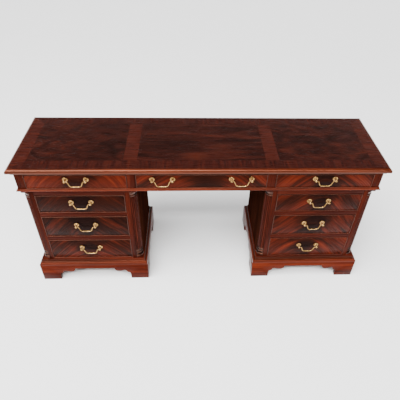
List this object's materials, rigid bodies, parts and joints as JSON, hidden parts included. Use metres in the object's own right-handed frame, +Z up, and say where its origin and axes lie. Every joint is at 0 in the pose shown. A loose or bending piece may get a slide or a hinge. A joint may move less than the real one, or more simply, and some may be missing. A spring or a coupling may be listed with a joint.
{
  "type": "pedestal desk",
  "caption": "Pedestal desk with drawers in the frieze and in both pedestals, swinging bail pulls, reeded quarter columns and bracket feet round an open kneehole.",
  "frame": {"origin": "on the floor, at the centre of the bounding box", "axes": "+X along the width, to the right of a person facing the drawers; -Y is the front, where the drawers open; +Z is up"},
  "size_m": [1.78, 0.4864, 0.78],
  "materials": {
    "flame_veneer": "polished, slightly glossy",
    "mahogany": "polished, slightly glossy",
    "dark_mahogany": "satin",
    "drawer_wood": "matt, waxed",
    "brass": "polished, slightly worn",
    "steel": "plain"
  },
  "bodies": {
    "carcase": {"top_board": "flame_veneer", "top_edge_moulding": "mahogany", "frieze_ends": "mahogany", "frieze_back": "dark_mahogany", "frieze_dividers": "mahogany", "frieze_top_rails": "mahogany", "frieze_base_board": "mahogany", "waist_moulding": "mahogany", "fixing_screws": "steel", "left_sides": "mahogany", "left_back": "dark_mahogany", "left_face_frame": "mahogany", "left_dust_boards": "drawer_wood", "left_columns": "mahogany", "left_plinth": "mahogany", "left_base_moulding": "mahogany", "right_sides": "mahogany", "right_back": "dark_mahogany", "right_face_frame": "mahogany", "right_dust_boards": "drawer_wood", "right_columns": "mahogany", "right_plinth": "mahogany", "right_base_moulding": "mahogany"},
    "frieze_drawer_left": {"frieze_drawer_left_front": "flame_veneer", "frieze_drawer_left_box": "drawer_wood", "frieze_drawer_left_pull_posts": "brass"},
    "frieze_drawer_left_handle": {"frieze_drawer_left_bail": "brass"},
    "frieze_drawer_centre": {"frieze_drawer_centre_front": "flame_veneer", "frieze_drawer_centre_box": "drawer_wood", "frieze_drawer_centre_pull_posts": "brass"},
    "frieze_drawer_centre_handle_left": {"frieze_drawer_centre_bail_left": "brass"},
    "frieze_drawer_centre_handle_right": {"frieze_drawer_centre_bail_right": "brass"},
    "frieze_drawer_right": {"frieze_drawer_right_front": "flame_veneer", "frieze_drawer_right_box": "drawer_wood", "frieze_drawer_right_pull_posts": "brass"},
    "frieze_drawer_right_handle": {"frieze_drawer_right_bail": "brass"},
    "left_drawer_1": {"left_drawer_1_front": "flame_veneer", "left_drawer_1_box": "drawer_wood", "left_drawer_1_pull_posts": "brass"},
    "left_drawer_1_handle": {"left_drawer_1_bail": "brass"},
    "left_drawer_2": {"left_drawer_2_front": "flame_veneer", "left_drawer_2_box": "drawer_wood", "left_drawer_2_pull_posts": "brass"},
    "left_drawer_2_handle": {"left_drawer_2_bail": "brass"},
    "left_drawer_3": {"left_drawer_3_front": "flame_veneer", "left_drawer_3_box": "drawer_wood", "left_drawer_3_pull_posts": "brass"},
    "left_drawer_3_handle": {"left_drawer_3_bail": "brass"},
    "right_drawer_1": {"right_drawer_1_front": "flame_veneer", "right_drawer_1_box": "drawer_wood", "right_drawer_1_pull_posts": "brass"},
    "right_drawer_1_handle": {"right_drawer_1_bail": "brass"},
    "right_drawer_2": {"right_drawer_2_front": "flame_veneer", "right_drawer_2_box": "drawer_wood", "right_drawer_2_pull_posts": "brass"},
    "right_drawer_2_handle": {"right_drawer_2_bail": "brass"},
    "right_drawer_3": {"right_drawer_3_front": "flame_veneer", "right_drawer_3_box": "drawer_wood", "right_drawer_3_pull_posts": "brass"},
    "right_drawer_3_handle": {"right_drawer_3_bail": "brass"}
  },
  "joints": [
    {"name": "frieze_drawer_left_slide", "type": "slide", "parent": "carcase", "child": "frieze_drawer_left", "axis": [0, -1, 0], "range_m": [0, 0.3]},
    {"name": "frieze_drawer_left_handle_swing", "type": "hinge", "parent": "frieze_drawer_left", "child": "frieze_drawer_left_handle", "pos_m": [-0.587, -0.23675, 0.714], "axis": [-1, 0, 0], "range_deg": [-25, 150]},
    {"name": "frieze_drawer_centre_slide", "type": "slide", "parent": "carcase", "child": "frieze_drawer_centre", "axis": [0, -1, 0], "range_m": [0, 0.3]},
    {"name": "frieze_drawer_centre_handle_left_swing", "type": "hinge", "parent": "frieze_drawer_centre", "child": "frieze_drawer_centre_handle_left", "pos_m": [-0.1866, -0.23675, 0.714], "axis": [-1, 0, 0], "range_deg": [-25, 150]},
    {"name": "frieze_drawer_centre_handle_right_swing", "type": "hinge", "parent": "frieze_drawer_centre", "child": "frieze_drawer_centre_handle_right", "pos_m": [0.1866, -0.23675, 0.714], "axis": [-1, 0, 0], "range_deg": [-25, 150]},
    {"name": "frieze_drawer_right_slide", "type": "slide", "parent": "carcase", "child": "frieze_drawer_right", "axis": [0, -1, 0], "range_m": [0, 0.3]},
    {"name": "frieze_drawer_right_handle_swing", "type": "hinge", "parent": "frieze_drawer_right", "child": "frieze_drawer_right_handle", "pos_m": [0.587, -0.23675, 0.714], "axis": [-1, 0, 0], "range_deg": [-25, 150]},
    {"name": "left_drawer_1_slide", "type": "slide", "parent": "carcase", "child": "left_drawer_1", "axis": [0, -1, 0], "range_m": [0, 0.3]},
    {"name": "left_drawer_1_handle_swing", "type": "hinge", "parent": "left_drawer_1", "child": "left_drawer_1_handle", "pos_m": [-0.588, -0.22675, 0.56514], "axis": [-1, 0, 0], "range_deg": [-25, 150]},
    {"name": "left_drawer_2_slide", "type": "slide", "parent": "carcase", "child": "left_drawer_2", "axis": [0, -1, 0], "range_m": [0, 0.3]},
    {"name": "left_drawer_2_handle_swing", "type": "hinge", "parent": "left_drawer_2", "child": "left_drawer_2_handle", "pos_m": [-0.588, -0.22675, 0.41021], "axis": [-1, 0, 0], "range_deg": [-25, 150]},
    {"name": "left_drawer_3_slide", "type": "slide", "parent": "carcase", "child": "left_drawer_3", "axis": [0, -1, 0], "range_m": [0, 0.3]},
    {"name": "left_drawer_3_handle_swing", "type": "hinge", "parent": "left_drawer_3", "child": "left_drawer_3_handle", "pos_m": [-0.588, -0.22675, 0.24107], "axis": [-1, 0, 0], "range_deg": [-25, 150]},
    {"name": "right_drawer_1_slide", "type": "slide", "parent": "carcase", "child": "right_drawer_1", "axis": [0, -1, 0], "range_m": [0, 0.3]},
    {"name": "right_drawer_1_handle_swing", "type": "hinge", "parent": "right_drawer_1", "child": "right_drawer_1_handle", "pos_m": [0.588, -0.22675, 0.56514], "axis": [-1, 0, 0], "range_deg": [-25, 150]},
    {"name": "right_drawer_2_slide", "type": "slide", "parent": "carcase", "child": "right_drawer_2", "axis": [0, -1, 0], "range_m": [0, 0.3]},
    {"name": "right_drawer_2_handle_swing", "type": "hinge", "parent": "right_drawer_2", "child": "right_drawer_2_handle", "pos_m": [0.588, -0.22675, 0.41021], "axis": [-1, 0, 0], "range_deg": [-25, 150]},
    {"name": "right_drawer_3_slide", "type": "slide", "parent": "carcase", "child": "right_drawer_3", "axis": [0, -1, 0], "range_m": [0, 0.3]},
    {"name": "right_drawer_3_handle_swing", "type": "hinge", "parent": "right_drawer_3", "child": "right_drawer_3_handle", "pos_m": [0.588, -0.22675, 0.24107], "axis": [-1, 0, 0], "range_deg": [-25, 150]}
  ]
}
